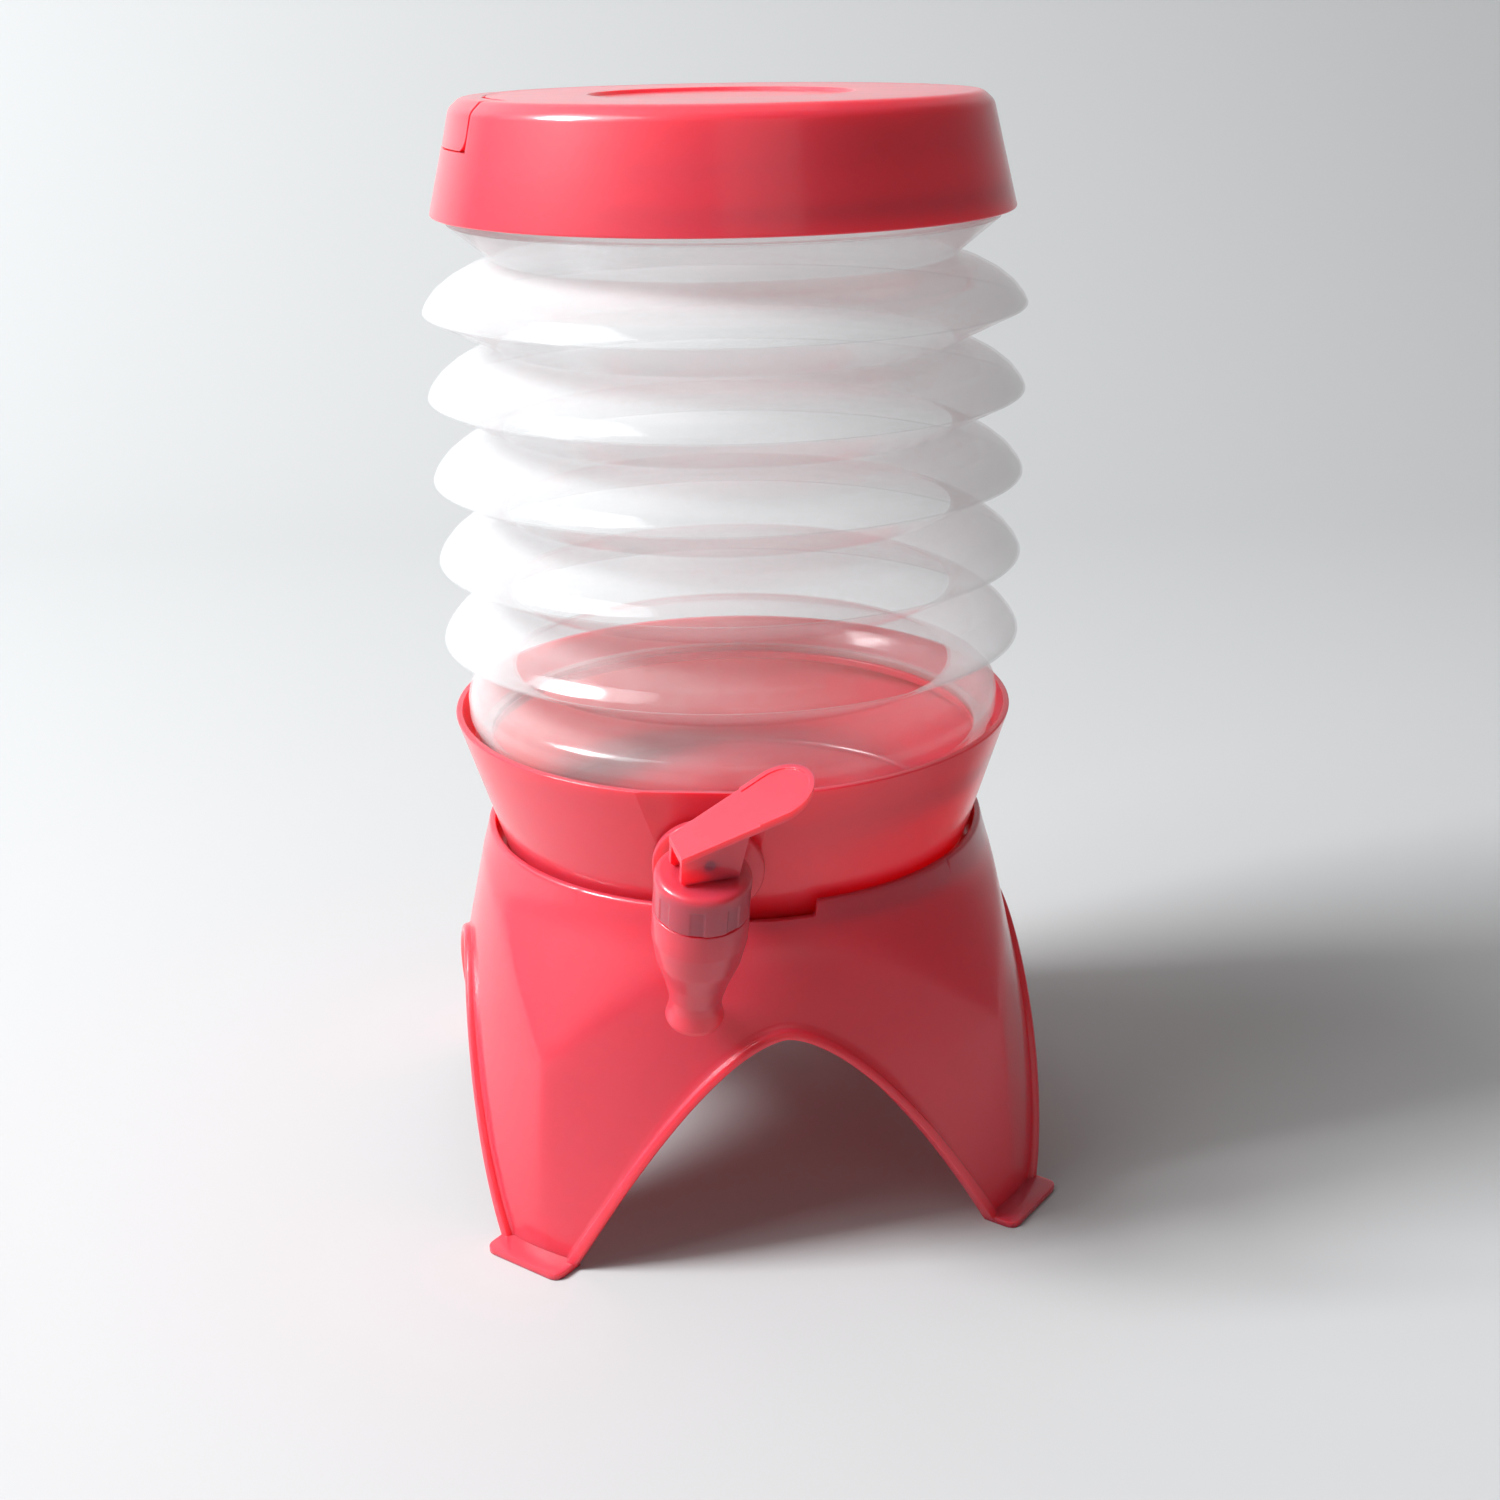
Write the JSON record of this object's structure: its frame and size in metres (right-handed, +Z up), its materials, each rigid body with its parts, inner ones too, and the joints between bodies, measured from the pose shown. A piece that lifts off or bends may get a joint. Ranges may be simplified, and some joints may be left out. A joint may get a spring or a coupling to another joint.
{
  "type": "collapsible drink dispenser",
  "caption": "Folding drink dispenser: clear bellows reservoir on a red four-legged stand, red screw lid with a carry handle, and a lever tap.",
  "frame": {"origin": "middle of the whole object's footprint at floor level", "axes": "+Z up along the reservoir, -Y towards the front arch, below the tap"},
  "size_m": [0.204, 0.2354, 0.3715],
  "materials": {
    "stand_red": "glossy moulded polypropylene",
    "basin_red": "glossy moulded polypropylene",
    "lid_red": "glossy moulded polypropylene",
    "handle_red": "glossy moulded polypropylene",
    "pin_red": "glossy moulded polypropylene",
    "tap_red": "glossy moulded polypropylene",
    "collar_red": "glossy moulded polypropylene",
    "lever_red": "glossy moulded polypropylene",
    "nut_red": "glossy moulded polypropylene",
    "clear_bellows": "clear thin polyethylene",
    "clear_neck": "clear polyethylene",
    "silicone": "translucent silicone",
    "black_rubber": "matt rubber",
    "white_acetal": "white acetal",
    "steel": "drawn stainless wire"
  },
  "bodies": {
    "stand": {"stand": "stand_red"},
    "reservoir": {"basin": "basin_red", "basin_seal": "silicone", "bellows": "clear_bellows", "tap_body": "tap_red", "tap_collar": "collar_red", "tap_outer_washer": "black_rubber", "tap_inner_washer": "black_rubber", "tap_nut": "nut_red", "tap_seat_bell": "silicone"},
    "neck": {"bellows_neck": "clear_neck"},
    "gasket": {"lid_gasket": "silicone"},
    "lid": {"lid": "lid_red", "handle_pin_left": "pin_red", "handle_pin_right": "pin_red"},
    "handle": {"carry_handle": "handle_red"},
    "plug": {"tap_seat_plug": "silicone"},
    "stem": {"tap_stem": "white_acetal", "tap_lever_pin": "steel"},
    "lever": {"tap_lever": "lever_red"}
  },
  "joints": [
    {"name": "reservoir_lift", "type": "slide", "parent": "stand", "child": "reservoir", "axis": [0, 0, 1], "range_m": [0, 0.06]},
    {"name": "bellows_collapse", "type": "slide", "parent": "reservoir", "child": "neck", "axis": [0, 0, -1], "range_m": [0, 0.118], "deforming": ["bellows"]},
    {"name": "lid_lift", "type": "slide", "parent": "neck", "child": "gasket", "axis": [0, 0, 1], "range_m": [0, 0.006]},
    {"name": "lid_turn", "type": "hinge", "parent": "gasket", "child": "lid", "pos_m": [0, 0.01563, 0.36], "axis": [0, 0, 1], "range_deg": [0, 270]},
    {"name": "handle_swing", "type": "hinge", "parent": "lid", "child": "handle", "pos_m": [-0.0021, 0.02125, 0.3665], "axis": [0.9367, 0.3502, 0], "range_deg": [0, 90]},
    {"name": "plunger_lift", "type": "slide", "parent": "reservoir", "child": "plug", "axis": [0.0304, -0.2653, 0.9637], "range_m": [0, 0.00403], "stiffness_N_per_m": 120, "springref_m": -0.003, "deforming": ["tap_seat_bell"]},
    {"name": "lever_swivel", "type": "hinge", "parent": "plug", "child": "stem", "pos_m": [-0.02948, -0.09834, 0.13399], "axis": [0.0304, -0.2653, 0.9637], "range_deg": [-228, 0]},
    {"name": "lever_tilt", "type": "hinge", "parent": "stem", "child": "lever", "pos_m": [-0.02868, -0.10524, 0.15904], "axis": [0.173, -0.9482, -0.2665], "range_deg": [0, 35]}
  ],
  "couplings": [
    {"joint": "lid_turn", "follows": "lid_lift", "rad_per_m": 785.4},
    {"joint": "lever_tilt", "follows": "plunger_lift", "rad_per_m": 151.52}
  ]
}
